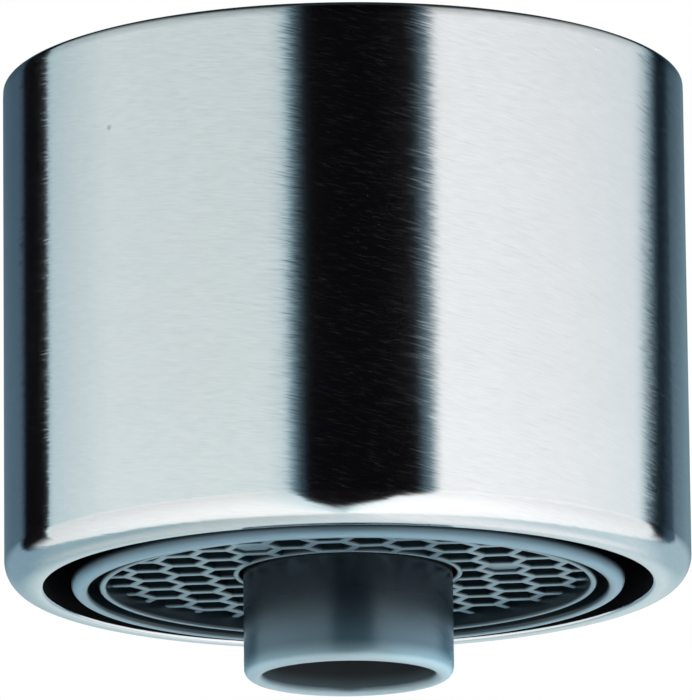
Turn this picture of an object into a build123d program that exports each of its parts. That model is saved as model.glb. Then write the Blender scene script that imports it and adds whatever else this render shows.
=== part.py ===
"""Tap aerator with a central outlet tube.

A turned shell screws up onto the spout. Inside it hangs a moulded insert: tap water runs through the
strainer, the flow regulator, the jet plate and the mixing grids, draws in air through the ring-shaped gap
under the shoulder, and leaves through the honeycomb. A second water path runs down the central tube, which
has its own sealed socket at the top.

Millimetres. The origin is the centre of the shell's top rim, where the spout enters, and +Z points up the
spout. Every height is counted down from there.
"""

import math
import os

from build123d import *

os.makedirs("parts", exist_ok=True)

# Shell and its thread, M22 x 1, drawn as a plain bore at its outer diameter
thread_diameter = 22.0
thread_depth = 0.55
thread_length = 5.6
lead_in = 0.4
shell_wall = 1.0
rim_bevel = 0.12
shoulder_thickness = 1.4
shoulder_clearance = 0.15
air_gap = 0.93
shell_edge_radius = 1.0
lip_edge_bevel = 0.1

# Sealing washer
washer_drop = 0.2
washer_thickness = 1.6
washer_width = 1.9

# Insert housing
flange_clearance = 0.05
flange_thickness = 1.2
flange_step = 0.7
housing_wall = 0.51
rim_proud = 0.12
housing_edge_bevel = 0.18
groove_width = 0.49
groove_depth = 1.52
ledge_thickness = 0.6
ledge_clearance = 0.06
insert_clearance = 0.04
air_slot_count = 8
air_slot_width = 3.0

# Strainer
strainer_rim_height = 0.6
strainer_rim_width = 0.8
strainer_wall = 0.6
strainer_collar = 0.5
strainer_drop = 0.4
strainer_slot_count = 36
strainer_slot_width = 0.45
strainer_slot_margin = 0.1

# Flow regulator
regulator_height = 1.8
regulator_floor = 0.6
regulator_inner_wall = 0.4
regulator_outer_wall = 0.85
regulator_ring_side = 1.2
regulator_ring_bevel = 0.3
regulator_slot_count = 18
regulator_slot_width = 0.5
regulator_slot_margin = 0.3

# Jet plate
jet_plate_thickness = 1.0
jet_gallery_depth = 0.4
jet_skirt_height = 1.6
jet_skirt_wall = 0.6
jet_skirt_foot = 0.3
jet_count = 16
jet_diameter = 1.0
jet_sides = 8
jet_plate_clearance = 0.1

# Mixing grids
grid_height = 1.0
grid_floor = 0.4
grid_outer_wall = 0.6
grid_inner_wall = 0.5
grid_pitch = 1.6
grid_hole = 1.05
grid_clearance = 0.14
lower_grid_turn = 45.0

# Honeycomb
honeycomb_band_height = 1.6
skirt_wall = 0.27
skirt_recess = 0.2
skirt_edge_bevel = 0.08
web_recess = 0.5
cell_pitch = 1.575
web_thickness = 0.35
cell_turn = 23.3
smallest_opening = 0.22
closed_cell_depth = 0.12
collar_wall = 0.22
collar_clearance = 0.14

# Central tube and the socket at its top
nozzle_bore = 6.0
nozzle_wall = 0.66
nozzle_reach = 3.1
nozzle_edge_radius = 0.38
nozzle_mouth_radius = 0.26
socket_step = 0.55
guide_length = 1.2
seal_side = 0.77
seal_bevel = 0.2
seal_clearance = 0.01
retainer_height = 1.0
hub_wall = 0.65

# Radii, from the thread inwards
thread_radius = thread_diameter / 2
shell_radius = thread_radius + shell_wall
chamber_radius = thread_radius - thread_depth
flange_radius = chamber_radius - flange_clearance
housing_radius = flange_radius - flange_step
shoulder_radius = housing_radius + shoulder_clearance
air_bore_radius = housing_radius + air_gap
housing_bore_radius = housing_radius - housing_wall
insert_radius = housing_bore_radius - insert_clearance
skirt_radius = housing_bore_radius - groove_width
ledge_radius = skirt_radius + ledge_clearance
field_radius = skirt_radius - skirt_wall

# Radii, from the tube's bore outwards
bore_radius = nozzle_bore / 2
tube_radius = bore_radius + nozzle_wall
collar_bore_radius = tube_radius + collar_clearance
collar_radius = collar_bore_radius + collar_wall
socket_radius = bore_radius + socket_step
seal_radius = socket_radius + seal_clearance + seal_side / 2
gland_radius = socket_radius + seal_side + 2 * seal_clearance
hub_radius = gland_radius + hub_wall
insert_bore_radius = hub_radius + insert_clearance
channel_inner_radius = insert_bore_radius + regulator_inner_wall
channel_outer_radius = insert_radius - regulator_outer_wall
channel_radius = (channel_inner_radius + channel_outer_radius) / 2

# Heights, counted down from the top rim
thread_end = -thread_length
washer_top = thread_end - washer_drop
flange_top = washer_top - washer_thickness
shoulder_top = flange_top - flange_thickness
shoulder_bottom = shoulder_top - shoulder_thickness
regulator_top = flange_top - strainer_rim_height
jet_plate_top = regulator_top - regulator_height
jet_plate_bottom = jet_plate_top - jet_plate_thickness
upper_grid_top = jet_plate_bottom - jet_skirt_height
lower_grid_top = upper_grid_top - grid_height
honeycomb_top = lower_grid_top - grid_height
ledge_top = honeycomb_top - honeycomb_band_height
ledge_bottom = ledge_top - ledge_thickness
housing_bottom = ledge_bottom - groove_depth
shell_bottom = housing_bottom + rim_proud
skirt_bottom = housing_bottom + skirt_recess
web_face = skirt_bottom + web_recess
nozzle_bottom = housing_bottom - nozzle_reach
seal_seat = washer_top - retainer_height - seal_side
pipe_stop = seal_seat - guide_length

# Edge rounds and bevels stay inside the walls that carry them
lip_bevel = min(lip_edge_bevel, 0.3 * (shell_radius - air_bore_radius))
shell_round = min(shell_edge_radius, 0.95 * (shell_radius - air_bore_radius) - lip_bevel)
housing_bevel = min(housing_edge_bevel, 0.45 * housing_wall)
skirt_bevel = min(skirt_edge_bevel, 0.4 * skirt_wall)
nozzle_round = min(nozzle_edge_radius, 0.58 * nozzle_wall)
mouth_round = min(nozzle_mouth_radius, 0.4 * nozzle_wall)


def corner(sketch, across, height):
    """The corner of a turned profile nearest to a radius and a height."""
    return sketch.vertices().sort_by_distance((across, height, 0))[0]


def grid_centres(pitch, size, inner, outer):
    """Centres of the square holes that lie whole between two radii."""
    reach = math.ceil(outer / pitch)
    half_diagonal = size / math.sqrt(2)
    centres = []
    for column in range(-reach, reach + 1):
        for row in range(-reach, reach + 1):
            distance = math.hypot(column * pitch, row * pitch)
            if inner + half_diagonal < distance < outer - half_diagonal:
                centres.append((column * pitch, row * pitch))
    return centres


def cell_centre(first, second):
    """Centre of a honeycomb cell, counted in steps along two rows 60 degrees apart."""
    turn = math.radians(cell_turn)
    across = first * math.cos(turn) + second * math.cos(turn + math.pi / 3)
    along = first * math.sin(turn) + second * math.sin(turn + math.pi / 3)
    return (cell_pitch * across, cell_pitch * along)


# Shell: a turned steel sleeve with the thread at the top and an inner shoulder that carries the insert
with BuildPart() as shell:
    with BuildSketch(Plane.XZ) as shell_profile:
        with BuildLine():
            Polyline(
                (thread_radius + lead_in, 0),
                (shell_radius - rim_bevel, 0),
                (shell_radius, -rim_bevel),
                (shell_radius, shell_bottom),
                (air_bore_radius, shell_bottom),
                (air_bore_radius, shoulder_bottom),
                (shoulder_radius, shoulder_bottom),
                (shoulder_radius, shoulder_top),
                (chamber_radius, shoulder_top),
                (chamber_radius, thread_end - thread_depth),
                (thread_radius, thread_end),
                (thread_radius, -lead_in),
                close=True,
            )
        make_face()
        fillet(corner(shell_profile, shell_radius, shell_bottom), shell_round)
        chamfer(corner(shell_profile, air_bore_radius, shell_bottom), lip_bevel)
    revolve(axis=Axis.Z)
shell.part.label = "shell"
export_step(shell.part, "parts/shell.step")

# Sealing washer: a flat rubber ring on the insert's flange, which the spout's end presses on
with BuildPart() as sealing_washer:
    with BuildSketch(Plane.XY.offset(flange_top)):
        Circle(flange_radius)
        Circle(flange_radius - washer_width, mode=Mode.SUBTRACT)
    extrude(amount=washer_thickness)
sealing_washer.part.label = "sealing_washer"
export_step(sealing_washer.part, "parts/sealing_washer.step")

# Insert housing: a moulded sleeve with a flange, air slots, an inner ledge and a bevelled rim
with BuildPart() as insert_housing:
    with BuildSketch(Plane.XZ) as housing_profile:
        with BuildLine():
            Polyline(
                (housing_bore_radius, flange_top),
                (flange_radius, flange_top),
                (flange_radius, shoulder_top),
                (housing_radius, shoulder_top),
                (housing_radius, housing_bottom),
                (housing_bore_radius, housing_bottom),
                (housing_bore_radius, ledge_bottom),
                (ledge_radius, ledge_bottom),
                (ledge_radius, ledge_top),
                (housing_bore_radius, ledge_top),
                close=True,
            )
        make_face()
        chamfer(corner(housing_profile, housing_radius, housing_bottom), housing_bevel)
        chamfer(corner(housing_profile, housing_bore_radius, housing_bottom), housing_bevel)
    revolve(axis=Axis.Z)
    with BuildSketch(Plane.XY.offset(jet_plate_bottom)):
        with PolarLocations(housing_radius, air_slot_count):
            Rectangle(4 * housing_wall, air_slot_width)
    extrude(amount=jet_skirt_foot - jet_skirt_height, mode=Mode.SUBTRACT)
insert_housing.part.label = "insert_housing"
export_step(insert_housing.part, "parts/insert_housing.step")

# Inlet strainer: a slotted cone round the socket, with a flat rim under the washer
strainer_top = washer_top - strainer_drop
strainer_collar_radius = insert_bore_radius + strainer_collar
strainer_rim_radius = insert_radius - strainer_rim_width
with BuildPart() as inlet_strainer:
    with BuildSketch(Plane.XZ):
        with BuildLine():
            Polyline(
                (insert_radius, flange_top),
                (insert_radius, regulator_top),
                (strainer_rim_radius, regulator_top),
                (strainer_collar_radius, strainer_top - strainer_wall),
                (insert_bore_radius, strainer_top - strainer_wall),
                (insert_bore_radius, strainer_top),
                (strainer_collar_radius, strainer_top),
                (strainer_rim_radius, flange_top),
                close=True,
            )
        make_face()
    revolve(axis=Axis.Z)
    with BuildSketch(Plane.XY.offset(strainer_top)):
        with PolarLocations((strainer_collar_radius + strainer_rim_radius) / 2, strainer_slot_count):
            Rectangle(
                strainer_rim_radius - strainer_collar_radius - 2 * strainer_slot_margin,
                strainer_slot_width,
            )
    extrude(amount=regulator_top - strainer_top, mode=Mode.SUBTRACT)
inlet_strainer.part.label = "inlet_strainer"
export_step(inlet_strainer.part, "parts/inlet_strainer.step")

# Regulator body: a channel with a slotted floor, which the regulator ring lies on
with BuildPart() as regulator_body:
    with BuildSketch(Plane.XZ):
        with BuildLine():
            Polyline(
                (insert_bore_radius, regulator_top),
                (insert_bore_radius, jet_plate_top),
                (insert_radius, jet_plate_top),
                (insert_radius, regulator_top),
                (channel_outer_radius, regulator_top),
                (channel_outer_radius, jet_plate_top + regulator_floor),
                (channel_inner_radius, jet_plate_top + regulator_floor),
                (channel_inner_radius, regulator_top),
                close=True,
            )
        make_face()
    revolve(axis=Axis.Z)
    with BuildSketch(Plane.XY.offset(jet_plate_top)):
        with PolarLocations(channel_radius, regulator_slot_count):
            Rectangle(
                channel_outer_radius - channel_inner_radius - 2 * regulator_slot_margin,
                regulator_slot_width,
            )
    extrude(amount=regulator_floor, mode=Mode.SUBTRACT)
regulator_body.part.label = "regulator_body"
export_step(regulator_body.part, "parts/regulator_body.step")

# Regulator ring: a soft ring of bevelled square section, which narrows the slots as the pressure rises
with BuildPart() as regulator_ring:
    with BuildSketch(Plane.XZ) as regulator_ring_profile:
        with Locations((channel_radius, jet_plate_top + regulator_floor + regulator_ring_side / 2)):
            Rectangle(regulator_ring_side, regulator_ring_side)
        chamfer(regulator_ring_profile.vertices(), regulator_ring_bevel)
    revolve(axis=Axis.Z)
regulator_ring.part.label = "regulator_ring"
export_step(regulator_ring.part, "parts/regulator_ring.step")

# Jet plate: splits the flow into jets, on a skirt with windows behind the housing's air slots
jet_skirt_radius = insert_radius - jet_skirt_wall
with BuildPart() as jet_plate:
    with BuildSketch(Plane.XZ):
        with BuildLine():
            Polyline(
                (tube_radius + jet_plate_clearance, jet_plate_top),
                (channel_inner_radius, jet_plate_top),
                (channel_inner_radius, jet_plate_top - jet_gallery_depth),
                (channel_outer_radius, jet_plate_top - jet_gallery_depth),
                (channel_outer_radius, jet_plate_top),
                (insert_radius, jet_plate_top),
                (insert_radius, upper_grid_top),
                (jet_skirt_radius, upper_grid_top),
                (jet_skirt_radius, jet_plate_bottom),
                (tube_radius + jet_plate_clearance, jet_plate_bottom),
                close=True,
            )
        make_face()
    revolve(axis=Axis.Z)
    with BuildSketch(Plane.XY.offset(jet_plate_bottom)):
        with PolarLocations(insert_radius, air_slot_count):
            Rectangle(4 * jet_skirt_wall, air_slot_width)
    extrude(amount=jet_skirt_foot - jet_skirt_height, mode=Mode.SUBTRACT)
    with BuildSketch(Plane.XY.offset(jet_plate_bottom)):
        with PolarLocations(channel_radius, jet_count):
            RegularPolygon(jet_diameter / 2, jet_sides)
    extrude(amount=jet_plate_thickness, mode=Mode.SUBTRACT)
jet_plate.part.label = "jet_plate"
export_step(jet_plate.part, "parts/jet_plate.step")

# Mixing grids: two shallow trays with square holes, the lower one turned against the upper
grid_bore_radius = tube_radius + grid_clearance
grid_field_inner = grid_bore_radius + grid_inner_wall
grid_field_outer = insert_radius - grid_outer_wall
hole_centres = grid_centres(grid_pitch, grid_hole, grid_field_inner, grid_field_outer)
for grid_name, grid_top, grid_turn in (
    ("mixing_grid_upper", upper_grid_top, 0.0),
    ("mixing_grid_lower", lower_grid_top, lower_grid_turn),
):
    grid_bottom = grid_top - grid_height
    with BuildPart() as mixing_grid:
        with BuildSketch(Plane.XZ):
            with BuildLine():
                Polyline(
                    (grid_bore_radius, grid_top),
                    (grid_bore_radius, grid_bottom),
                    (insert_radius, grid_bottom),
                    (insert_radius, grid_top),
                    (grid_field_outer, grid_top),
                    (grid_field_outer, grid_bottom + grid_floor),
                    (grid_field_inner, grid_bottom + grid_floor),
                    (grid_field_inner, grid_top),
                    close=True,
                )
            make_face()
        revolve(axis=Axis.Z)
        with BuildSketch(Plane.XY.offset(grid_bottom).rotated((0, 0, grid_turn))):
            with Locations(*hole_centres):
                Rectangle(grid_hole, grid_hole)
        extrude(amount=grid_floor, mode=Mode.SUBTRACT)
    mixing_grid.part.label = grid_name
    export_step(mixing_grid.part, f"parts/{grid_name}.step")

# Honeycomb: straightens the stream, with a collar round the tube and three cells closed on its face
closed_cells = [(-2, 4), (-2, -2), (4, -2)]
cell_reach = math.ceil(2 * field_radius / cell_pitch)
cell_steps = range(-cell_reach, cell_reach + 1)
open_cells = [(i, j) for i in cell_steps for j in cell_steps if (i, j) not in closed_cells]
near_cells = [c for c in open_cells if math.hypot(*cell_centre(*c)) < field_radius + cell_pitch]
cell_flat = (cell_pitch - web_thickness) / 2
with BuildSketch(Plane.XY.offset(web_face)) as cell_field:
    with Locations(*[cell_centre(*c) for c in near_cells]):
        RegularPolygon(cell_flat, 6, major_radius=False, rotation=cell_turn + 30)
    Circle(field_radius, mode=Mode.INTERSECT)
    Circle(collar_radius, mode=Mode.SUBTRACT)
openings = [face for face in cell_field.sketch.faces() if face.area > smallest_opening]
with BuildPart() as honeycomb:
    with BuildSketch(Plane.XZ) as honeycomb_profile:
        with BuildLine():
            Polyline(
                (collar_bore_radius, honeycomb_top),
                (insert_radius, honeycomb_top),
                (insert_radius, ledge_top),
                (skirt_radius, ledge_top),
                (skirt_radius, skirt_bottom),
                (field_radius, skirt_bottom),
                (field_radius, web_face),
                (collar_bore_radius, web_face),
                close=True,
            )
        make_face()
        chamfer(corner(honeycomb_profile, skirt_radius, skirt_bottom), skirt_bevel)
        chamfer(corner(honeycomb_profile, field_radius, skirt_bottom), skirt_bevel)
    revolve(axis=Axis.Z)
    extrude(openings, amount=honeycomb_top - web_face, mode=Mode.SUBTRACT)
    with BuildSketch(Plane.XY.offset(web_face)):
        with Locations(*[cell_centre(*c) for c in closed_cells]):
            RegularPolygon(cell_flat, 6, major_radius=False, rotation=cell_turn + 30)
    extrude(amount=closed_cell_depth, mode=Mode.SUBTRACT)
honeycomb.part.label = "honeycomb"
export_step(honeycomb.part, "parts/honeycomb.step")

# Nozzle tube: the second water path, with a hub on the jet plate and a socket for the spout's inner pipe
with BuildPart() as nozzle_tube:
    with BuildSketch(Plane.XZ) as nozzle_profile:
        with BuildLine():
            Polyline(
                (gland_radius, washer_top),
                (hub_radius, washer_top),
                (hub_radius, jet_plate_top),
                (tube_radius, jet_plate_top),
                (tube_radius, nozzle_bottom),
                (bore_radius, nozzle_bottom),
                (bore_radius, pipe_stop),
                (socket_radius, pipe_stop),
                (socket_radius, seal_seat),
                (gland_radius, seal_seat),
                close=True,
            )
        make_face()
        fillet(corner(nozzle_profile, tube_radius, nozzle_bottom), nozzle_round)
        fillet(corner(nozzle_profile, bore_radius, nozzle_bottom), mouth_round)
    revolve(axis=Axis.Z)
nozzle_tube.part.label = "nozzle_tube"
export_step(nozzle_tube.part, "parts/nozzle_tube.step")

# Socket seal: the bevelled square ring in the hub that closes round the spout's inner pipe
with BuildPart() as socket_seal:
    with BuildSketch(Plane.XZ) as socket_seal_profile:
        with Locations((seal_radius, seal_seat + seal_side / 2)):
            Rectangle(seal_side, seal_side)
        chamfer(socket_seal_profile.vertices(), seal_bevel)
    revolve(axis=Axis.Z)
socket_seal.part.label = "socket_seal"
export_step(socket_seal.part, "parts/socket_seal.step")

# Seal retainer: a bush pressed in above the seal
with BuildPart() as seal_retainer:
    with BuildSketch(Plane.XY.offset(washer_top - retainer_height)):
        Circle(gland_radius - seal_clearance)
        Circle(socket_radius, mode=Mode.SUBTRACT)
    extrude(amount=retainer_height)
seal_retainer.part.label = "seal_retainer"
export_step(seal_retainer.part, "parts/seal_retainer.step")
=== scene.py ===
import math

import bmesh
import bpy
from mathutils import Matrix, Vector


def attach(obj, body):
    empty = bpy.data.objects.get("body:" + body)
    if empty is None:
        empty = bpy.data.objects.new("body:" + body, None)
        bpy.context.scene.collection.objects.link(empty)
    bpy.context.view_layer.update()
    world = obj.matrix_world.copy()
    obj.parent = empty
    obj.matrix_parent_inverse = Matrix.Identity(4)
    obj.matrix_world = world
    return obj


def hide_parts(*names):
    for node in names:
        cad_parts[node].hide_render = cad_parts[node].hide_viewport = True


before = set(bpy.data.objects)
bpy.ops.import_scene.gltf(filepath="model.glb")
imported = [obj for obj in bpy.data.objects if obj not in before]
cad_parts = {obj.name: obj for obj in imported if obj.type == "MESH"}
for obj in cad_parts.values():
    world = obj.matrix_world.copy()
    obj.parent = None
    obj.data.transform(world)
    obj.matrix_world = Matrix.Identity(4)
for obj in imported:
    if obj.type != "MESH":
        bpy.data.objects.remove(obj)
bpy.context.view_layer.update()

MM = 0.001

# Steps round the axis, for the wide pieces that show from below and for the others
FINE_TURN = 256
PLAIN_TURN = 160

# Radii in millimetres, from the shell inwards
SHELL_RADIUS = 12.0
RIM_RADIUS = 11.985
THREAD_RADIUS = 11.0
LIP_RADIUS = 10.63
THREAD_CREST = 10.47
CHAMBER_RADIUS = 10.45
FLANGE_RADIUS = 10.40
SHOULDER_RADIUS = 9.85
HOUSING_RADIUS = 9.67
HOUSING_BORE = 9.19
INSERT_RADIUS = 9.15
FOOT_BORE = 9.07
LEDGE_RADIUS = 8.76
SKIRT_RADIUS = 8.70
WASHER_BORE = 8.50
FIELD_RADIUS = 8.43
STRAINER_RIM = 8.35
STRAINER_COLLAR = 5.53
INSERT_BORE = 5.03
HUB_RADIUS = 4.99
GLAND_RADIUS = 4.34
RETAINER_RADIUS = 4.33
COLLAR_RADIUS = 4.02
COLLAR_BORE = 3.80
TUBE_RADIUS = 3.66
SOCKET_RADIUS = 3.55
BORE_RADIUS = 3.00

# Width and depth of the bevel that leads into the thread
LEAD_IN = 0.4

# Heights in millimetres, counted down from the shell's top rim
RIM_TAPER = -0.42
THREAD_END = -5.6
WASHER_TOP = -5.8
RUN_OUT_END = -6.15
STRAINER_TOP = -6.2
STRAINER_UNDER = -6.8
RETAINER_FOOT = -6.8
FLANGE_TOP = -7.4
SEAL_SEAT = -7.57
STRAINER_FOOT = -8.0
SHOULDER_TOP = -8.6
PIPE_STOP = -8.77
HUB_FOOT = -9.8
SHOULDER_FOOT = -10.0
SLOT_TOP = -10.8
SLOT_FOOT = -12.1
COMB_TOP = -14.4
LEDGE_TOP = -16.0
LEDGE_FOOT = -16.6
WEB_FACE = -17.53
SKIRT_FOOT = -17.99
SHELL_FOOT = -18.0
HOUSING_FOOT = -18.14
TUBE_FOOT = -21.22

# Honeycomb: its turn is in degrees, and its closed cells are counted in steps along two rows
CELL_PITCH = 1.575
WEB_WIDTH = 0.35
CELL_TURN = 23.3
CLOSED_CELLS = [(-2, 4), (-2, -2), (4, -2)]
CLOSED_DEPTH = 0.12
SMALLEST_OPENING_AREA = 0.22

# Slots in the housing and in the strainer
AIR_SLOT_COUNT = 8
AIR_SLOT_WIDTH = 3.0
STRAINER_SLOT_COUNT = 36
STRAINER_SLOT_WIDTH = 0.45
STRAINER_SLOT_MARGIN = 0.1

# Rounds of the edges
RIM_ROUND = 0.17
LEAD_IN_ROUND = 0.05
SHELL_ROUND = 1.0
LIP_ROUND = 0.12
HOUSING_ROUND = 0.34
FOOT_BORE_ROUND = 0.15
LEDGE_ROUND = 0.08
WEB_ROUND = 0.09
SKIRT_ROUND = 0.11
COLLAR_ROUND = 0.08
TUBE_ROUND = 0.38
MOUTH_ROUND = 0.26
HUB_ROUND = 0.12
GLAND_ROUND = 0.05
WASHER_ROUND = 0.15
STRAINER_ROUND = 0.1
RETAINER_ROUND = 0.06
RETAINER_MOUTH_ROUND = 0.2

# Where the finishes and the painted light and shade change, each from a first radius, height or distance to
# a second
PIT_PLACE = (-8.05, -8.90, -3.59)
PIT_DEEPENS = (0.15, 0.02)
BRUSHING_FINER = (-12.0, -16.0)
# The insert's and the tube's spans below place painted shade and painted light, apart from the tube's duller
# top
INSERT_OUTER_RIM = (9.16, 9.36)
INSERT_FOOT_PAINTED_LIGHT = (-17.70, -17.95)
TUBE_PAINTED_LIGHT = (-19.1, -20.5)
TUBE_BORE_PAINTED_SHADE = (3.30, 3.0)
TUBE_MOUTH_PAINTED_LIGHT = (-20.45, -21.2)
TUBE_DULLER = (-19.2, -18.4)


class Strand:
    """A value that runs through a finish's nodes. Arithmetic on it adds Math nodes."""

    def __init__(self, tree, socket=None):
        self.tree = tree
        self.socket = socket

    def add(self, kind, settings=None, inputs=None, out=0):
        """Any node: its settings are set first, then the values or links of its sockets."""
        node = self.tree.nodes.new(kind)
        for key, value in (settings or {}).items():
            if key == "stops":
                set_stops(node.color_ramp, value)
            else:
                setattr(node, key, value)
        for key, value in (inputs or {}).items():
            feed(self.tree, node.inputs[key], value)
        return Strand(self.tree, node.outputs[out])

    def worked_out(self, operation, first, second):
        """A Math node on two values."""
        return self.add("ShaderNodeMath", {"operation": operation}, {0: first, 1: second})

    def __add__(self, other):
        return self.worked_out("ADD", self, other)

    def __radd__(self, other):
        return self.worked_out("ADD", other, self)

    def __sub__(self, other):
        return self.worked_out("SUBTRACT", self, other)

    def __rsub__(self, other):
        return self.worked_out("SUBTRACT", other, self)

    def __mul__(self, other):
        return self.worked_out("MULTIPLY", self, other)

    def __rmul__(self, other):
        return self.worked_out("MULTIPLY", other, self)

    def __truediv__(self, other):
        return self.worked_out("DIVIDE", self, other)

    def __rtruediv__(self, other):
        return self.worked_out("DIVIDE", other, self)


def feed(tree, socket, value):
    """Links a strand to a socket, or sets the socket's own value."""
    if isinstance(value, Strand):
        tree.links.new(value.socket, socket)
    else:
        socket.default_value = value


def set_stops(ramp, stops):
    """Gives a colour ramp its stops, each a position and a colour."""
    while len(ramp.elements) > 1:
        ramp.elements.remove(ramp.elements[-1])
    ramp.elements[0].position = stops[0][0]
    ramp.elements[0].color = (*stops[0][1], 1.0)
    for position, colour in stops[1:]:
        ramp.elements.new(position).color = (*colour, 1.0)


def mix_colours(strand, factor, first, second):
    """The first colour where the factor is 0, the second where it is 1."""
    colours = {0: factor, 6: first, 7: second}
    return strand.add("ShaderNodeMix", {"data_type": "RGBA"}, colours, out=2)


def smooth_step(strand, value, low, high):
    """From 0 at a low value to 1 at a high one, with soft ends."""
    inputs = {"Value": value, "From Min": low, "From Max": high}
    return strand.add("ShaderNodeMapRange", {"interpolation_type": "SMOOTHSTEP"}, inputs)


def change_over(strand, value, span):
    """A smooth step between the two ends of a span in millimetres."""
    start, end = span
    return smooth_step(strand, value, start * MM, end * MM)


def vector_maths(strand, operation, inputs, out=0):
    """A Vector Math node on colours, places or directions."""
    return strand.add("ShaderNodeVectorMath", {"operation": operation}, inputs, out)


def upward_part(strand, vector):
    """The height of a place, or how far a direction points up."""
    return strand.add("ShaderNodeSeparateXYZ", None, {0: vector}, out="Z")


def flattened(strand, place):
    """A place brought to the level of the origin."""
    return vector_maths(strand, "MULTIPLY", {0: place, 1: (1.0, 1.0, 0.0)})


def from_axis(strand, place):
    """The distance of a place from the axis."""
    return vector_maths(strand, "LENGTH", {0: flattened(strand, place)}, out="Value")


def grain(strand, place, size, detail=2.0, turn=(0.0, 0.0, 0.0)):
    """Noise whose features have this size in millimetres along each axis."""
    mapped = strand.add(
        "ShaderNodeMapping",
        {"vector_type": "TEXTURE"},
        {"Vector": place, "Rotation": turn, "Scale": [side * MM for side in size]},
    )
    inputs = {"Vector": mapped, "Scale": 1.0, "Detail": detail, "Roughness": 0.55}
    return strand.add("ShaderNodeTexNoise", {"noise_dimensions": "3D"}, inputs, out="Fac")


def new_finish(name):
    """A material with its shader, a strand in its nodes and the place on the piece."""
    finish = bpy.data.materials.new(name)
    finish.use_nodes = True
    strand = Strand(finish.node_tree)
    place = strand.add("ShaderNodeTexCoord", out="Object")
    return finish, finish.node_tree.nodes["Principled BSDF"], strand, place


def rgba(colour):
    """A colour that lets nothing through."""
    return (*colour, 1.0)


def jittered_normal(strand, place, along, upward):
    """The surface normal, tipped round the axis and upward by two small amounts that vary."""
    up = (0.0, 0.0, 1.0)
    normal = strand.add("ShaderNodeNewGeometry", out="Normal")
    outward = vector_maths(strand, "NORMALIZE", {0: flattened(strand, place)})
    around = vector_maths(strand, "CROSS_PRODUCT", {0: up, 1: outward})
    sideways = vector_maths(strand, "SCALE", {0: around, "Scale": along})
    lift = vector_maths(strand, "SCALE", {0: up, "Scale": upward})
    tipped = vector_maths(strand, "ADD", {0: normal, 1: sideways})
    tipped = vector_maths(strand, "ADD", {0: tipped, 1: lift})
    return vector_maths(strand, "NORMALIZE", {0: tipped})


def brushed_steel():
    """Stainless steel with fine brushing round the axis and slanting hair scratches."""
    finish, shader, strand, place = new_finish("brushed_steel")
    lean = (0.0, math.radians(5), 0.0)
    slant = (0.0, math.radians(14), 0.0)
    brushing = grain(strand, place, (0.6, 0.6, 0.045), detail=3.0, turn=lean)
    hairs = grain(strand, place, (0.45, 0.45, 0.05), turn=slant)
    scratches = grain(strand, place, (1.1, 1.1, 0.05), detail=1.0, turn=slant)
    clouds = grain(strand, place, (3.0, 3.0, 1.2))
    deep = (0.52, 0.80)
    deep_hairs = smooth_step(strand, hairs, *deep)
    deep_scratches = smooth_step(strand, scratches, *deep)
    finer = change_over(strand, upward_part(strand, place), BRUSHING_FINER)

    tone = 0.5 * brushing + 0.35 * hairs + 0.15 * clouds
    colour = mix_colours(strand, tone, rgba((0.745, 0.775, 0.785)), rgba((0.98, 0.99, 1.0)))
    pit_place = [side * MM for side in PIT_PLACE]
    from_pit = vector_maths(strand, "DISTANCE", {0: place, 1: pit_place}, out="Value")
    pit = change_over(strand, from_pit, PIT_DEEPENS)
    colour = mix_colours(strand, 0.42 * pit, colour, rgba((0.14, 0.155, 0.155)))
    feed(strand.tree, shader.inputs["Base Color"], colour)

    roughness = 0.115 - 0.03 * finer + 0.05 * brushing + 0.05 * deep_scratches
    feed(strand.tree, shader.inputs["Roughness"], roughness)
    feed(strand.tree, shader.inputs["Metallic"], 1.0 - 0.011 * deep_hairs)
    shader.inputs["Anisotropic"].default_value = 0.88
    shader.inputs["Anisotropic Rotation"].default_value = 0.25

    along = 0.027 * (hairs - 0.5) + 0.022 * (brushing - 0.5) + 0.02 * deep_scratches
    along = along * (1.0 - 0.4 * finer)
    upward = 0.12 * (brushing - 0.5)
    feed(strand.tree, shader.inputs["Normal"], jittered_normal(strand, place, along, upward))
    return finish


def dull_steel_painted_dark():
    """The unpolished inner wall of the shell: rough, and near black as painted shade in the gap."""
    finish, shader, strand, place = new_finish("dull_steel_painted_dark")
    turning = grain(strand, place, (4.0, 4.0, 0.09))
    # Painted shade: the colour is near black, for the shade in the gap
    colour = mix_colours(strand, turning, rgba((0.006, 0.005, 0.006)), rgba((0.016, 0.015, 0.016)))
    feed(strand.tree, shader.inputs["Base Color"], colour)
    feed(strand.tree, shader.inputs["Roughness"], 0.50 + 0.2 * turning)
    shader.inputs["Metallic"].default_value = 0.8
    return finish


def facing_down(strand, low, high):
    """How far a face points down, from 0 to 1."""
    normal = strand.add("ShaderNodeNewGeometry", out="Normal")
    return smooth_step(strand, 0.0 - upward_part(strand, normal), low, high)


def painted_insert_shading(strand, place, mottling, colour):
    """Painted shade makes the insert darkest on its outer wall down in the gap, and painted light makes it
    pale at that wall's foot and where it faces down.
    """
    outer = change_over(strand, from_axis(strand, place), INSERT_OUTER_RIM)
    foot = change_over(strand, upward_part(strand, place), INSERT_FOOT_PAINTED_LIGHT)
    # Painted shade: the outer wall, down in the gap between the lip and the insert, is near black
    colour = mix_colours(strand, outer, colour, rgba((0.001, 0.0015, 0.002)))
    # Painted light: that wall's foot, where it comes out of the gap, is paler
    colour = mix_colours(strand, outer * foot, colour, rgba((0.14, 0.225, 0.28)))
    # Painted light: faces that point down are pale as if lit from below, most on the outer rim
    down = facing_down(strand, 0.60 - 0.30 * outer, 0.98)
    edge = mix_colours(strand, outer, rgba((0.24, 0.37, 0.435)), rgba((0.30, 0.475, 0.575)))
    return mix_colours(strand, down * mottling, colour, edge)


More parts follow.
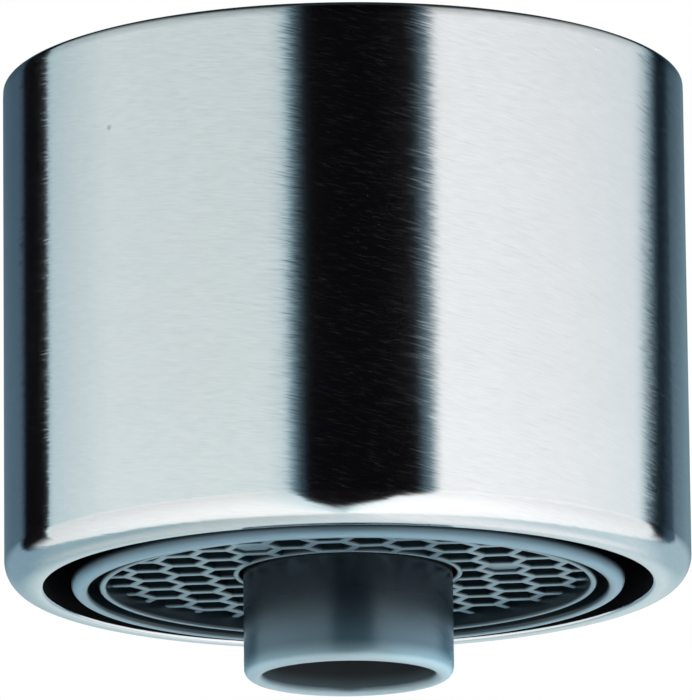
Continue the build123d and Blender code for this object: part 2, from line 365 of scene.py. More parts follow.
def painted_nozzle_shading(strand, place, mottling, colour):
    """Painted light makes the tube paler towards its mouth and palest on the rim, and painted shade makes
    its bore a flat grey.
    """
    height = upward_part(strand, place)
    # Painted light: the tube is paler low down, out of the shade of the shell's lip
    lower = change_over(strand, height, TUBE_PAINTED_LIGHT)
    colour = mix_colours(strand, lower * mottling, colour, rgba((0.050, 0.090, 0.116)))
    # Painted shade: the bore is a flat grey, and keeps only half of the pale rim
    bore = change_over(strand, from_axis(strand, place), TUBE_BORE_PAINTED_SHADE)
    colour = mix_colours(strand, bore, colour, rgba((0.052, 0.055, 0.057)))
    # Painted light: the rounded rim at the mouth is pale
    mouth = change_over(strand, height, TUBE_MOUTH_PAINTED_LIGHT) * (1.0 - 0.5 * bore)
    colour = mix_colours(strand, mouth, colour, rgba((0.25, 0.37, 0.42)))
    # Painted light: faces that point down are palest
    down = facing_down(strand, 0.25, 0.95)
    return mix_colours(strand, down * mottling, colour, rgba((0.54, 0.68, 0.73)))


def moulded_plastic(
    name,
    dark,
    light,
    roughness,
    ior,
    tint=(1.0, 1.0, 1.0),
    painted_shading=None,
    duller=None,
):
    """Moulded plastic with flow clouds and a fine satin grain. Painted light and shade may colour it by its
    place.
    """
    finish, shader, strand, place = new_finish(name)
    clouds = grain(strand, place, (2.5, 2.5, 2.5), detail=3.0)
    fine = grain(strand, place, (0.06, 0.06, 0.06))
    colour = mix_colours(strand, 0.85 * clouds + 0.15 * fine, rgba(dark), rgba(light))
    if painted_shading:
        colour = painted_shading(strand, place, 0.8 + 0.4 * clouds, colour)
    feed(strand.tree, shader.inputs["Base Color"], colour)
    rough = roughness - 0.05 + 0.1 * clouds
    if duller:
        rough = rough + 0.05 * change_over(strand, upward_part(strand, place), duller)
    feed(strand.tree, shader.inputs["Roughness"], rough)
    shader.inputs["IOR"].default_value = ior
    shader.inputs["Specular Tint"].default_value = rgba(tint)
    bump = {"Strength": 0.05, "Distance": 0.002 * MM, "Height": fine}
    feed(strand.tree, shader.inputs["Normal"], strand.add("ShaderNodeBump", None, bump))
    return finish


def moulded_rubber():
    """Dull black rubber with a fine pebbled skin."""
    finish, shader, strand, place = new_finish("rubber")
    clouds = grain(strand, place, (1.6, 1.6, 1.6), detail=3.0)
    pebbles = grain(strand, place, (0.09, 0.09, 0.09))
    colour = mix_colours(strand, clouds, rgba((0.016, 0.016, 0.018)), rgba((0.034, 0.034, 0.036)))
    feed(strand.tree, shader.inputs["Base Color"], colour)
    feed(strand.tree, shader.inputs["Roughness"], 0.55 + 0.2 * pebbles)
    bump = {"Strength": 0.4, "Distance": 0.01 * MM, "Height": pebbles}
    feed(strand.tree, shader.inputs["Normal"], strand.add("ShaderNodeBump", None, bump))
    return finish


def deselect_all():
    """Leaves edit mode and clears the selection."""
    if bpy.context.mode != "OBJECT":
        bpy.ops.object.mode_set(mode="OBJECT")
    bpy.ops.object.select_all(action="DESELECT")


def name_piece(name):
    """Names the piece that was added last."""
    piece = bpy.context.object
    piece.name = name
    piece.data.name = name
    return piece


def make_active(piece):
    """Selects one piece alone, in object mode."""
    deselect_all()
    piece.select_set(True)
    bpy.context.view_layer.objects.active = piece


def select_edges(piece, wanted):
    """Selects the edges for which wanted(edge) is true, in edit mode."""
    bpy.ops.mesh.select_mode(type="EDGE")
    bpy.ops.mesh.select_all(action="DESELECT")
    mesh = bmesh.from_edit_mesh(piece.data)
    for edge in mesh.edges:
        if wanted(edge):
            edge.select_set(True)
    bmesh.update_edit_mesh(piece.data)


def on_ring(radius, height):
    """True for an edge that lies on the ring with this radius and height."""
    near = 0.004 * MM

    def at_place(point):
        across = math.hypot(point.x, point.y)
        return abs(across - radius * MM) < near and abs(point.z - height * MM) < near

    return lambda edge: all(at_place(vertex.co) for vertex in edge.verts)


def round_edges(size, segments):
    """Rounds the selected edges, in edit mode."""
    bpy.ops.mesh.bevel(
        offset=size * MM, segments=segments, profile=0.5, affect="EDGES", clamp_overlap=False
    )


def close_up():
    """Merges doubles and turns the faces outwards, in edit mode."""
    bpy.ops.mesh.select_all(action="SELECT")
    bpy.ops.mesh.remove_doubles(threshold=0.0005 * MM)
    bpy.ops.mesh.normals_make_consistent(inside=False)


def smooth(piece, angle=38.0):
    """Smooth shading up to an angle, with large faces keeping their own normals."""
    make_active(piece)
    bpy.ops.object.shade_smooth_by_angle(angle=math.radians(angle))
    bpy.ops.object.modifier_add(type="WEIGHTED_NORMAL")
    piece.modifiers[-1].keep_sharp = True
    bpy.ops.object.modifier_apply(modifier=piece.modifiers[-1].name)


def closed_wire(name, outline):
    """A closed wire through radii and heights, which is left in edit mode."""
    deselect_all()
    bpy.ops.mesh.primitive_plane_add(size=MM)
    piece = name_piece(name)
    bpy.ops.object.mode_set(mode="EDIT")
    bpy.ops.mesh.select_mode(type="VERT")
    bpy.ops.mesh.select_all(action="SELECT")
    bpy.ops.mesh.merge(type="CENTER")
    radius, height = outline[0]
    bpy.ops.transform.translate(value=(radius * MM, 0, height * MM))
    for (r0, z0), (r1, z1) in zip(outline, outline[1:]):
        step = {"value": ((r1 - r0) * MM, 0, (z1 - z0) * MM)}
        bpy.ops.mesh.extrude_region_move(TRANSFORM_OT_translate=step)
    bpy.ops.mesh.select_all(action="SELECT")
    bpy.ops.mesh.edge_face_add()
    bpy.ops.mesh.delete(type="ONLY_FACE")
    return piece


def turned(name, outline, rounds=(), steps=PLAIN_TURN):
    """An outline spun round the axis. A round has a ring's radius and height, its size and its segments."""
    piece = closed_wire(name, outline)
    bpy.ops.mesh.select_all(action="SELECT")
    bpy.ops.mesh.spin(steps=steps, angle=math.tau, center=(0, 0, 0), axis=(0, 0, 1))
    close_up()
    for radius, height, size, segments in rounds:
        select_edges(piece, on_ring(radius, height))
        round_edges(size, segments)
    close_up()
    bpy.ops.object.mode_set(mode="OBJECT")
    return piece


def ring_of_boxes(name, count, inner, outer, width, low, high):
    """Evenly spaced boxes round the axis, each from an inner to an outer radius."""
    deselect_all()
    bpy.ops.mesh.primitive_cube_add(size=MM)
    boxes = name_piece(name)
    bpy.ops.object.mode_set(mode="EDIT")
    bpy.ops.mesh.select_mode(type="FACE")
    bpy.ops.mesh.select_all(action="SELECT")
    bpy.ops.transform.resize(value=(outer - inner, width, high - low))
    middle = ((inner + outer) / 2 * MM, 0, (low + high) / 2 * MM)
    bpy.ops.transform.translate(value=middle)
    bpy.ops.mesh.spin(
        steps=count - 1,
        dupli=True,
        angle=math.tau * (count - 1) / count,
        center=(0, 0, 0),
        axis=(0, 0, 1),
    )
    close_up()
    bpy.ops.object.mode_set(mode="OBJECT")
    return boxes


def cut(piece, tool, operation="DIFFERENCE"):
    """Applies a boolean with a tool, which is then deleted."""
    make_active(piece)
    bpy.ops.object.modifier_add(type="BOOLEAN")
    modifier = piece.modifiers[-1]
    modifier.operation = operation
    modifier.solver = "EXACT"
    modifier.object = tool
    bpy.ops.object.modifier_apply(modifier=modifier.name)
    bpy.data.objects.remove(tool)


def join(piece, *others):
    """Joins other pieces to one, which keeps its name."""
    make_active(piece)
    for other in others:
        other.select_set(True)
    bpy.ops.object.join()
    return piece


def dress(piece, finish, slot, *nodes):
    """Gives a finished piece its material and its body, and hides the CAD nodes it stands for."""
    if not piece.data.materials:
        piece.data.materials.append(finish)
    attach(piece, "root")
    if nodes:
        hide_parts(*nodes)


def make_shell():
    """The steel sleeve, bright outside, and dull and painted dark as shade inside from the shoulder down."""
    outline = [
        (THREAD_RADIUS + LEAD_IN, 0),
        (RIM_RADIUS, 0),
        (SHELL_RADIUS, RIM_TAPER),
        (SHELL_RADIUS, SHELL_FOOT),
        (LIP_RADIUS, SHELL_FOOT),
        (LIP_RADIUS, SHOULDER_FOOT),
        (SHOULDER_RADIUS, SHOULDER_FOOT),
        (SHOULDER_RADIUS, SHOULDER_TOP),
        (CHAMBER_RADIUS, SHOULDER_TOP),
        (CHAMBER_RADIUS, RUN_OUT_END),
        (THREAD_RADIUS, THREAD_END),
        (THREAD_RADIUS, -LEAD_IN),
    ]
    rounds = [
        (RIM_RADIUS, 0, RIM_ROUND, 6),
        (SHELL_RADIUS, SHELL_FOOT, SHELL_ROUND, 14),
        (LIP_RADIUS, SHELL_FOOT, LIP_ROUND, 4),
        (THREAD_RADIUS + LEAD_IN, 0, LEAD_IN_ROUND, 2),
    ]
    shell = turned("shell_sleeve", outline, rounds, FINE_TURN)
    smooth(shell)
    shell.data.materials.append(STEEL)
    shell.data.materials.append(DULL_STEEL_PAINTED_DARK)
    near = 0.003
    for face in shell.data.polygons:
        across = math.hypot(face.center.x, face.center.y)
        inside = across < (LIP_RADIUS + near) * MM
        if inside and face.center.z < SHOULDER_TOP * MM:
            face.material_index = 1
    return shell


def sink_thread_ends(ridge):
    """Moves the ridge into the wall where the thread leads in and runs out, in edit mode."""
    sunk = 0.03
    mesh = bmesh.from_edit_mesh(ridge.data)
    for vertex in mesh.verts:
        across = math.hypot(vertex.co.x, vertex.co.y) / MM
        height = vertex.co.z / MM
        wall = THREAD_RADIUS + LEAD_IN + height
        if height < THREAD_END:
            wall = THREAD_RADIUS + height - THREAD_END
        least = max(THREAD_CREST, wall + sunk)
        if across < least:
            vertex.co.x *= least / across
            vertex.co.y *= least / across
    bmesh.update_edit_mesh(ridge.data)


def make_thread():
    """The ridge of the M22 x 1 inner thread, whose root lies hidden in the shell's wall."""
    pitch = 1.0
    turns = 7
    steps = 120
    half_root = 0.46
    half_crest = 0.09
    root = THREAD_RADIUS + 0.06
    start = -6.9
    top_cut = -0.06
    foot_cut = -6.1
    outline = [
        (root, start - half_root),
        (THREAD_CREST, start - half_crest),
        (THREAD_CREST, start + half_crest),
        (root, start + half_root),
    ]
    ridge = closed_wire("shell_thread", outline)
    bpy.ops.object.mode_set(mode="OBJECT")
    bpy.ops.object.modifier_add(type="SCREW")
    screw = ridge.modifiers[-1]
    screw.axis = "Z"
    screw.angle = math.tau
    screw.screw_offset = pitch * MM
    screw.iterations = turns
    screw.steps = steps
    screw.render_steps = steps
    bpy.ops.object.modifier_apply(modifier=screw.name)
    bpy.ops.object.mode_set(mode="EDIT")
    for height, side in ((top_cut, 1), (foot_cut, -1)):
        bpy.ops.mesh.select_all(action="SELECT")
        bpy.ops.mesh.bisect(
            plane_co=(0, 0, height * MM),
            plane_no=(0, 0, side),
            clear_outer=True,
            use_fill=False,
            threshold=0.0001 * MM,
        )
    sink_thread_ends(ridge)
    select_edges(ridge, lambda edge: edge.is_boundary)
    bpy.ops.mesh.edge_face_add()
    close_up()
    bpy.ops.object.mode_set(mode="OBJECT")
    smooth(ridge, angle=25.0)
    return ridge


def make_housing():
    """The insert's sleeve, which hangs by its flange and has air slots in its wall."""
    outline = [
        (HOUSING_BORE, FLANGE_TOP),
        (FLANGE_RADIUS, FLANGE_TOP),
        (FLANGE_RADIUS, SHOULDER_TOP),
        (HOUSING_RADIUS, SHOULDER_TOP),
        (HOUSING_RADIUS, HOUSING_FOOT),
        (FOOT_BORE, HOUSING_FOOT),
        (FOOT_BORE, LEDGE_FOOT),
        (LEDGE_RADIUS, LEDGE_FOOT),
        (LEDGE_RADIUS, LEDGE_TOP),
        (HOUSING_BORE, LEDGE_TOP),
    ]
    rounds = [
        (HOUSING_RADIUS, HOUSING_FOOT, HOUSING_ROUND, 8),
        (FOOT_BORE, HOUSING_FOOT, FOOT_BORE_ROUND, 6),
        (LEDGE_RADIUS, LEDGE_FOOT, LEDGE_ROUND, 3),
    ]
    housing = turned("insert_sleeve", outline, rounds, FINE_TURN)
    past_wall = 1.0
    slots = ring_of_boxes(
        "air_slots",
        AIR_SLOT_COUNT,
        HOUSING_RADIUS - past_wall,
        HOUSING_RADIUS + past_wall,
        AIR_SLOT_WIDTH,
        SLOT_FOOT,
        SLOT_TOP,
    )
    cut(housing, slots)
    smooth(housing)
    return housing


def cell_centre(first, second):
    """Centre of a cell, counted in steps along two rows 60 degrees apart."""
    turn = math.radians(CELL_TURN)
    third = math.pi / 3
    across = first * math.cos(turn) + second * math.cos(turn + third)
    along = first * math.sin(turn) + second * math.sin(turn + third)
    return CELL_PITCH * across, CELL_PITCH * along


def opening_area(centre):
    """Area of a cell's opening that lies between the collar and the skirt, counted on a fine grid."""
    steps = 40
    half_width = (CELL_PITCH - WEB_WIDTH) / 2
    size = 2 * half_width / math.cos(math.pi / 6) / steps
    turns = [math.radians(CELL_TURN + 60 * side) for side in range(3)]
    inside = 0
    for column in range(steps):
        for row in range(steps):
            x = (column + 0.5 - steps / 2) * size
            y = (row + 0.5 - steps / 2) * size
            radius = math.hypot(centre[0] + x, centre[1] + y)
            if not COLLAR_RADIUS < radius < FIELD_RADIUS:
                continue
            if all(abs(x * math.cos(turn) + y * math.sin(turn)) < half_width for turn in turns):
                inside += 1
    return inside * size * size


def make_tile(kind):
    """One hexagon of the honeycomb's face: open, closed and set back, or plain."""
    deselect_all()
    corner_radius = CELL_PITCH / math.sqrt(3)
    bpy.ops.mesh.primitive_circle_add(vertices=6, radius=corner_radius * MM, fill_type="NGON")
    tile = name_piece("tile_" + kind)
    bpy.ops.object.mode_set(mode="EDIT")
    bpy.ops.mesh.select_mode(type="FACE")
    bpy.ops.mesh.select_all(action="SELECT")
    mesh = bmesh.from_edit_mesh(tile.data)
    # A circle's first corner lies on +Y, and a cell's corners lie 30 degrees from the rows
    turn = Matrix.Rotation(math.radians(CELL_TURN + 30 - 90), 3, "Z")
    bmesh.ops.rotate(mesh, cent=(0, 0, 0), matrix=turn, verts=mesh.verts)
    bmesh.update_edit_mesh(tile.data)
    if kind != "plain":
        bpy.ops.mesh.inset(thickness=WEB_WIDTH / 2 * MM)
    if kind == "open":
        bpy.ops.mesh.delete(type="FACE")
    if kind == "closed":
        set_back = {"value": (0, 0, CLOSED_DEPTH * MM)}
        bpy.ops.mesh.extrude_region_move(TRANSFORM_OT_translate=set_back)
    bpy.ops.object.mode_set(mode="OBJECT")
    return tile


def lay_tiles():
    """The honeycomb's face: hexagons side by side, from inside the collar to beyond the skirt."""
    tiles = {kind: make_tile(kind) for kind in ("open", "closed", "plain")}
    reach = math.ceil(2 * FIELD_RADIUS / CELL_PITCH)
    nearest = COLLAR_BORE - CELL_PITCH
    farthest = SKIRT_RADIUS + CELL_PITCH * 0.6
    copies = []
    for first in range(-reach, reach + 1):
        for second in range(-reach, reach + 1):
            centre = cell_centre(first, second)
            if not nearest < math.hypot(*centre) < farthest:
                continue
            kind = "open" if opening_area(centre) > SMALLEST_OPENING_AREA else "plain"
            if (first, second) in CLOSED_CELLS:
                kind = "closed"
            copy = tiles[kind].copy()
            copy.data = tiles[kind].data.copy()
            place = (centre[0] * MM, centre[1] * MM, WEB_FACE * MM)
            copy.data.transform(Matrix.Translation(place))
            bpy.context.collection.objects.link(copy)
            copies.append(copy)
    face = join(*copies)
    for tile in tiles.values():
        bpy.data.objects.remove(tile)
    return face


def web_edge(edge):
    """True for an edge between the honeycomb's face and the wall of a cell."""
    near = 0.002 * MM
    if len(edge.link_faces) != 2:
        return False
    if any(abs(vertex.co.z - WEB_FACE * MM) > near for vertex in edge.verts):
        return False
    steep = [abs(face.normal.z) < 0.5 for face in edge.link_faces]
    return steep[0] != steep[1]


def make_webs():
    """The honeycomb's webs: its face drawn upwards, rounded below and cut to a ring."""
    name = "honeycomb_grille"
    past_top = 0.3
    past_face = 0.1
    overlap = 0.02
    webs = lay_tiles()
    webs.name = name
    webs.data.name = name
    make_active(webs)
    bpy.ops.object.mode_set(mode="EDIT")
    bpy.ops.mesh.select_all(action="SELECT")
    bpy.ops.mesh.remove_doubles(threshold=0.002 * MM)
    rise = {"value": (0, 0, (COMB_TOP - WEB_FACE + past_top) * MM)}
    bpy.ops.mesh.extrude_region_move(TRANSFORM_OT_translate=rise)
    close_up()
    select_edges(webs, web_edge)
    round_edges(WEB_ROUND, 3)
    close_up()
    bpy.ops.object.mode_set(mode="OBJECT")
    bounds = [
        (COLLAR_RADIUS - overlap, WEB_FACE - past_face),
        (FIELD_RADIUS + overlap, WEB_FACE - past_face),
        (FIELD_RADIUS + overlap, COMB_TOP),
        (COLLAR_RADIUS - overlap, COMB_TOP),
    ]
    cut(webs, turned("web_bounds", bounds, (), FINE_TURN), "INTERSECT")
    smooth(webs, angle=40.0)
    return webs


def make_honeycomb():
    """The webs, with the skirt round them and the collar inside them."""
    webs = make_webs()
    skirt_outline = [
        (FIELD_RADIUS, COMB_TOP),
        (INSERT_RADIUS, COMB_TOP),
        (INSERT_RADIUS, LEDGE_TOP),
        (SKIRT_RADIUS, LEDGE_TOP),
        (SKIRT_RADIUS, SKIRT_FOOT),
        (FIELD_RADIUS, SKIRT_FOOT),
    ]
    skirt_rounds = [(radius, SKIRT_FOOT, SKIRT_ROUND, 4) for radius in (SKIRT_RADIUS, FIELD_RADIUS)]
    skirt = turned("honeycomb_skirt", skirt_outline, skirt_rounds, FINE_TURN)
    smooth(skirt)
    collar_outline = [
        (COLLAR_BORE, COMB_TOP),
        (COLLAR_RADIUS, COMB_TOP),
        (COLLAR_RADIUS, WEB_FACE),
        (COLLAR_BORE, WEB_FACE),
    ]
    collar_rounds = [(radius, WEB_FACE, COLLAR_ROUND, 3) for radius in (COLLAR_RADIUS, COLLAR_BORE)]
    collar = turned("honeycomb_collar", collar_outline, collar_rounds)
    smooth(collar)
    return join(webs, skirt, collar)


def make_tube():
    """The outlet tube, with the hub and the socket at its top."""
    outline = [
        (GLAND_RADIUS, WASHER_TOP),
        (HUB_RADIUS, WASHER_TOP),
        (HUB_RADIUS, HUB_FOOT),
        (TUBE_RADIUS, HUB_FOOT),
        (TUBE_RADIUS, TUBE_FOOT),
        (BORE_RADIUS, TUBE_FOOT),
        (BORE_RADIUS, PIPE_STOP),
        (SOCKET_RADIUS, PIPE_STOP),
        (SOCKET_RADIUS, SEAL_SEAT),
        (GLAND_RADIUS, SEAL_SEAT),
    ]
    rounds = [
        (TUBE_RADIUS, TUBE_FOOT, TUBE_ROUND, 8),
        (BORE_RADIUS, TUBE_FOOT, MOUTH_ROUND, 6),
        (HUB_RADIUS, WASHER_TOP, HUB_ROUND, 3),
        (GLAND_RADIUS, WASHER_TOP, GLAND_ROUND, 2),
    ]
    tube = turned("outlet_tube", outline, rounds)
    smooth(tube)
    return tube


def make_washer():
    """The flat rubber ring on the insert's flange, rounded at all its edges."""
    outline = [
        (WASHER_BORE, WASHER_TOP),
        (FLANGE_RADIUS, WASHER_TOP),
        (FLANGE_RADIUS, FLANGE_TOP),
        (WASHER_BORE, FLANGE_TOP),
    ]
    rounds = [(radius, height, WASHER_ROUND, 4) for radius, height in outline]
    washer = turned("washer_ring", outline, rounds)
    smooth(washer)
    return washer


def make_strainer():
    """The slotted cone round the tube's hub, with a flat rim under the washer."""
    outline = [
        (INSERT_RADIUS, FLANGE_TOP),
        (INSERT_RADIUS, STRAINER_FOOT),
        (STRAINER_RIM, STRAINER_FOOT),
        (STRAINER_COLLAR, STRAINER_UNDER),
        (INSERT_BORE, STRAINER_UNDER),
        (INSERT_BORE, STRAINER_TOP),
        (STRAINER_COLLAR, STRAINER_TOP),
        (STRAINER_RIM, FLANGE_TOP),
    ]
    strainer = turned("strainer_cone", outline, [(INSERT_BORE, STRAINER_TOP, STRAINER_ROUND, 3)])
    past_faces = 0.1
    slots = ring_of_boxes(
        "strainer_slots",
        STRAINER_SLOT_COUNT,
        STRAINER_COLLAR + STRAINER_SLOT_MARGIN,
        STRAINER_RIM - STRAINER_SLOT_MARGIN,
        STRAINER_SLOT_WIDTH,
        STRAINER_FOOT - past_faces,
        STRAINER_TOP + past_faces,
    )
    cut(strainer, slots)
    smooth(strainer)
    return strainer


def make_retainer():
    """The bush above the socket's seal."""
    outline = [
        (SOCKET_RADIUS, WASHER_TOP),
        (RETAINER_RADIUS, WASHER_TOP),
        (RETAINER_RADIUS, RETAINER_FOOT),
        (SOCKET_RADIUS, RETAINER_FOOT),
    ]
    rounds = [
        (SOCKET_RADIUS, WASHER_TOP, RETAINER_MOUTH_ROUND, 4),
        (RETAINER_RADIUS, WASHER_TOP, RETAINER_ROUND, 2),
    ]
    retainer = turned("seal_bush", outline, rounds)
    smooth(retainer)
    return retainer


def make_stage():
    """A white floor well below the object, clear when it is seen from below."""
    floor_side = 6.0
    floor_height = -0.13
    deselect_all()
    bpy.ops.mesh.primitive_plane_add(size=floor_side, location=(0, 0, floor_height))
    floor = name_piece("floor")
    paint, shader, strand, place = new_finish("floor_paint")
    clouds = grain(strand, place, (400.0, 400.0, 400.0))
    pale = mix_colours(strand, clouds, rgba((0.84, 0.85, 0.86)), rgba((0.88, 0.89, 0.90)))
    feed(strand.tree, shader.inputs["Base Color"], pale)
    shader.inputs["Roughness"].default_value = 0.8
    painted = Strand(strand.tree, shader.outputs["BSDF"])
    white = strand.add("ShaderNodeEmission", None, {"Color": rgba((1.0, 1.0, 1.0)), "Strength": 1.0})
    camera = strand.add("ShaderNodeLightPath", out="Is Camera Ray")
    bright = strand.add("ShaderNodeMixShader", None, {0: 0.9 * camera, 1: painted, 2: white})
    under = strand.add("ShaderNodeNewGeometry", out="Backfacing")
    clear = strand.add("ShaderNodeBsdfTransparent")
    shown = strand.add("ShaderNodeMixShader", None, {0: under, 1: bright, 2: clear})
    feed(strand.tree, strand.tree.nodes["Material Output"].inputs["Surface"], shown)
    floor.data.materials.append(paint)
    floor.visible_glossy = False


# The studio as the steel shows it: azimuth in degrees from the camera, positive to its right
BLACK_CLOTH = (0.003, 0.0025, 0.003)
STUDIO_RING = [
    (-180, (0.085, 0.15, 0.20)),
    (-150, (0.046, 0.086, 0.12)),
    (-139.5, (0.048, 0.080, 0.11)),
    (-137, BLACK_CLOTH),
    (-119.0, BLACK_CLOTH),
    (-118.2, (0.45, 0.60, 0.64)),
    (-108, (0.52, 0.63, 0.66)),
    (-85, (0.69, 0.77, 0.78)),
    (-25, (0.67, 0.755, 0.765)),
    (-20.3, (0.55, 0.66, 0.69)),
    (-18.2, (0.23, 0.34, 0.39)),
    (-16.2, (0.045, 0.08, 0.105)),
    (-13, BLACK_CLOTH),
    (23.5, BLACK_CLOTH),
    (26, (0.05, 0.08, 0.10)),
    (28.4, (0.13, 0.20, 0.24)),
    (31.7, (0.95, 0.965, 0.97)),
    (55, (0.92, 0.935, 0.94)),
    (80, (0.87, 0.89, 0.895)),
    (112, (0.75, 0.80, 0.83)),
    (118, (0.62, 0.72, 0.76)),
    (123, (0.20, 0.305, 0.36)),
    (126, (0.040, 0.070, 0.098)),
    (128.5, (0.004, 0.008, 0.012)),
    (134.5, (0.004, 0.008, 0.012)),
    (139.5, (0.022, 0.038, 0.055)),
    (148, (0.052, 0.092, 0.125)),
    (165, (0.115, 0.195, 0.24)),
    (180, (0.085, 0.15, 0.20)),
]
# The ground in front of the object, by the same azimuth
GROUND_RING = [
    (-180, (0.60, 0.70, 0.73)),
    (-130, (0.82, 0.86, 0.87)),
    (-95, (0.92, 0.94, 0.94)),
    (-50, (0.985, 0.985, 0.975)),
    (-34, (0.97, 0.985, 0.97)),
    (-26, (0.90, 0.95, 0.96)),
    (-16, (0.72, 0.85, 0.88)),
    (-6, (0.62, 0.76, 0.80)),
    (4, (0.74, 0.88, 0.89)),
    (10, (0.93, 1.00, 1.02)),
    (16, (1.03, 1.06, 1.07)),
    (25, (1.15, 1.15, 1.16)),
    (40, (1.20, 1.19, 1.19)),
    (70, (1.06, 1.06, 1.07)),
    (100, (0.99, 1.00, 1.01)),
    (120, (0.97, 0.99, 1.00)),
    (180, (0.60, 0.70, 0.73)),
]
# The ground behind it, by how far a direction points to the right, close by and far off
GROUND_BEHIND = [
    (-0.45, (0.30, 0.43, 0.48)),
    (-0.25, (0.50, 0.58, 0.59)),
    (-0.10, (0.56, 0.64, 0.65)),
    (0.0, (0.64, 0.73, 0.76)),
    (0.10, (0.90, 0.92, 0.93)),
    (0.25, (0.82, 0.87, 0.90)),
    (0.42, (0.57, 0.70, 0.74)),
]
GROUND_FAR_OFF = [
    (-0.26, (0.225, 0.343, 0.418)),
    (-0.05, (0.44, 0.575, 0.60)),
    (0.0, (0.58, 0.69, 0.72)),
    (0.05, (0.62, 0.735, 0.77)),
    (0.26, (0.37, 0.50, 0.56)),
]
# How far down the dark cloths hang below the pale walls, by azimuth
CLOTH_RING = [
    (-180, 0),
    (-141, 0),
    (-137, 0.34),
    (-120, 0.34),
    (-116, 0),
    (-22, 0),
    (-20, 0.05),
    (-17, 0.20),
    (-15.5, 0.42),
    (-14.5, 0.66),
    (-12, 0.84),
    (-9, 0.96),
    (-6, 1.02),
    (-2, 1.02),
    (3, 0.95),
    (7, 0.86),
    (11, 0.77),
    (14, 0.67),
    (16, 0.46),
    (20, 0.36),
    (24, 0.27),
    (27, 0.20),
    (30, 0.08),
    (33, 0),
    (118, 0),
    (126, 0.34),
    (136, 0.34),
    (142, 0),
    (180, 0),
]


def make_studio():
    """The room that the steel reflects: ground, walls and hanging cloths. The camera sees white instead."""
    world = bpy.data.worlds.new("studio")
    bpy.context.scene.world = world
    world.use_nodes = True
    tree = world.node_tree
    strand = Strand(tree)
    toward = strand.add("ShaderNodeTexCoord", out="Generated")
    x, y, z = (strand.add("ShaderNodeSeparateXYZ", None, {0: toward}, out=axis) for axis in "XYZ")
    azimuth = strand.add("ShaderNodeMath", {"operation": "ARCTAN2"}, {0: x, 1: 0.0 - y})
    around = azimuth / math.tau + 0.5

    def ring(stops, turned_to=around):
        """Colours by azimuth in degrees."""
        placed = [(angle / 360 + 0.5, colour) for angle, colour in stops]
        return strand.add("ShaderNodeValToRGB", {"stops": placed}, {"Fac": turned_to})

    def strip(stops):
        """Colours from left to right."""
        placed = [(side + 0.5, colour) for side, colour in stops]
        return strand.add("ShaderNodeValToRGB", {"stops": placed}, {"Fac": x + 0.5})

    def with_height(low, high, first, last):
        """A level that goes from a first to a last value between two heights."""
        span = {"Value": z, "From Min": low, "From Max": high, "To Min": first, "To Max": last}
        return strand.add("ShaderNodeMapRange", None, span)

    def scaled(colour, level):
        return vector_maths(strand, "SCALE", {0: colour, "Scale": level})

    # The ground in front is paler close by, and the ground behind begins further back at the sides
    near_ground = scaled(ring(GROUND_RING), with_height(0.0, -0.8, 0.85, 1.08))
    far_off = smooth_step(strand, z, -0.55, -0.30)
    far_ground = mix_colours(strand, far_off, strip(GROUND_BEHIND), strip(GROUND_FAR_OFF))
    behind = smooth_step(strand, y - 1.9 * x * x * x * x, 0.02, 0.20)
    ground = mix_colours(strand, behind, near_ground, far_ground)

    # The walls are brighter low down, and the right-hand cloth hangs a little aslant
    aslant = with_height(0.19, 0.26, 0.018, -0.018)
    right_hand = smooth_step(strand, around, 0.80, 0.83)
    hung = ring(STUDIO_RING, around + aslant * right_hand)
    walls = scaled(hung, with_height(-0.05, 0.5, 1.75, 0.33))

    # The lower edge of walls and cloths is soft
    drop = ring([(angle, (depth, depth, depth)) for angle, depth in CLOTH_RING])
    edge = 0.10 - 1.05 * drop
    above = smooth_step(strand, z - edge, -0.10, 0.18)
    room = mix_colours(strand, above, ground, walls)

    # The ceiling is dark
    top = smooth_step(strand, z, 0.58, 0.86)
    room = mix_colours(strand, top, room, rgba((0.014, 0.024, 0.028)))
    camera = strand.add("ShaderNodeLightPath", out="Is Camera Ray")
    seen = mix_colours(strand, camera, room, rgba((1.0, 1.0, 1.0)))
    feed(tree, tree.nodes["Background"].inputs["Color"], seen)


def make_lamp(name, place, aim, size, power, colour=(1.0, 1.0, 1.0), beam=180.0):
    """A round lamp turned to what it lights. It doesn't show in reflections."""
    lamp = bpy.data.lights.new(name, "AREA")
    lamp.spread = math.radians(beam)
    lamp.shape = "DISK"
    lamp.size = size
    lamp.energy = power
    lamp.color = colour
    holder = bpy.data.objects.new(name, lamp)
    bpy.context.scene.collection.objects.link(holder)
    holder.location = place
    holder.rotation_euler = (Vector(aim) - Vector(place)).to_track_quat("-Z", "Y").to_euler()
    holder.visible_glossy = False


def make_lamps():
    """Two lamps for the whole object, and three low ones that graze the tube."""
    object_middle = (0, 0, -0.01)
    make_lamp("key_lamp", (-0.7, -0.7, 0.9), object_middle, size=0.7, power=6.5)
    make_lamp("fill_lamp", (0.9, -0.5, 0.5), object_middle, size=0.7, power=12.0)
    tube_middle = (0, 0, -0.0195)
    side_colour = (0.65, 0.88, 1.0)
    make_lamp("side_lamp", (0.6, -0.3, 0.033), tube_middle, size=0.2, power=0.5, colour=side_colour)
    for name, side, power, colour in (
        ("right_edge_lamp", 0.6, 0.09, (0.6, 0.88, 1.0)),
        ("left_edge_lamp", -0.6, 0.05, (0.6, 0.9, 1.0)),
    ):
        make_lamp(name, (side, 0.1, 0.033), tube_middle, size=0.2, power=power, colour=colour, beam=16.0)


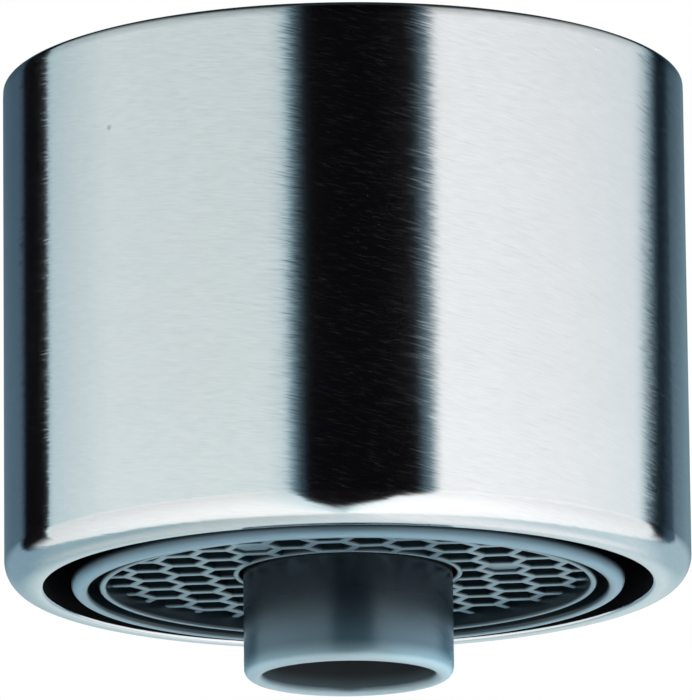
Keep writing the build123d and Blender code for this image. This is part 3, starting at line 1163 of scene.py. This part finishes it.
def make_camera():
    """Below the object and looking up at it through a long lens, as in the photograph."""
    pitch = math.radians(12.922)
    roll = math.radians(-0.609)
    distance = 0.34583
    circled = Vector((0, 0, -0.009))
    # The focal length and the picture are in pixels, and so is the place where the circled point falls in it
    focal = 9848.82
    image_width = 692
    image_height = 700
    aim_column = 345.50
    aim_row = 336.50
    forward = Vector((0, math.cos(pitch), math.sin(pitch)))
    right = Vector((1, 0, 0))
    up = right.cross(forward)
    tilted_right = math.cos(roll) * right + math.sin(roll) * up
    tilted_up = tilted_right.cross(forward)
    place = circled - distance * forward
    per_pixel = distance / focal
    target = (
        circled
        + tilted_right * (image_width / 2 - aim_column) * per_pixel
        - tilted_up * (image_height / 2 - aim_row) * per_pixel
    )
    look = (target - place).normalized()
    across = look.cross(tilted_up).normalized()
    upright = across.cross(look)
    lens = bpy.data.cameras.new("camera")
    lens.sensor_width = 36.0
    lens.lens = focal / max(image_width, image_height) * lens.sensor_width
    lens.clip_start = 0.01
    lens.clip_end = 10.0
    camera = bpy.data.objects.new("camera", lens)
    bpy.context.scene.collection.objects.link(camera)
    turn = Matrix((across, upright, -look)).transposed()
    camera.matrix_world = Matrix.Translation(place) @ turn.to_4x4()
    bpy.context.scene.camera = camera


# Camera, room and light
bpy.context.scene.view_settings.view_transform = "Standard"
make_camera()
make_studio()
make_stage()
make_lamps()

# Finishes
STEEL = brushed_steel()
DULL_STEEL_PAINTED_DARK = dull_steel_painted_dark()
INSERT_PLASTIC = moulded_plastic(
    "insert_plastic",
    (0.006, 0.014, 0.020),
    (0.010, 0.020, 0.028),
    roughness=0.30,
    ior=1.65,
    tint=(0.72, 0.92, 1.0),
    painted_shading=painted_insert_shading,
)
NOZZLE_PLASTIC = moulded_plastic(
    "nozzle_plastic",
    (0.006, 0.010, 0.014),
    (0.010, 0.014, 0.018),
    roughness=0.25,
    ior=2.0,
    tint=(0.70, 0.89, 1.0),
    painted_shading=painted_nozzle_shading,
    duller=TUBE_DULLER,
)
INNER_PLASTIC = moulded_plastic(
    "inner_plastic",
    (0.66, 0.67, 0.65),
    (0.76, 0.77, 0.75),
    roughness=0.42,
    ior=1.5,
)
RUBBER = moulded_rubber()

# Smooth pieces for what shows, in place of the solids
dress(make_shell(), STEEL, "brushed_steel", "shell")
dress(make_thread(), STEEL, "brushed_steel")
dress(make_housing(), INSERT_PLASTIC, "insert_plastic", "insert_housing")
dress(make_honeycomb(), INSERT_PLASTIC, "insert_plastic", "honeycomb")
dress(make_tube(), NOZZLE_PLASTIC, "nozzle_plastic", "nozzle_tube")
dress(make_washer(), RUBBER, "rubber", "sealing_washer")
dress(make_strainer(), INNER_PLASTIC, "inner_plastic", "inlet_strainer")
dress(make_retainer(), INNER_PLASTIC, "inner_plastic", "seal_retainer")

# The other inner pieces are the solids themselves
for node, finish in (
    ("regulator_body", INNER_PLASTIC),
    ("regulator_ring", RUBBER),
    ("jet_plate", INNER_PLASTIC),
    ("mixing_grid_upper", INNER_PLASTIC),
    ("mixing_grid_lower", INNER_PLASTIC),
    ("socket_seal", RUBBER),
):
    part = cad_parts[node]
    part.data.materials.clear()
    part.data.materials.append(finish)

deselect_all()
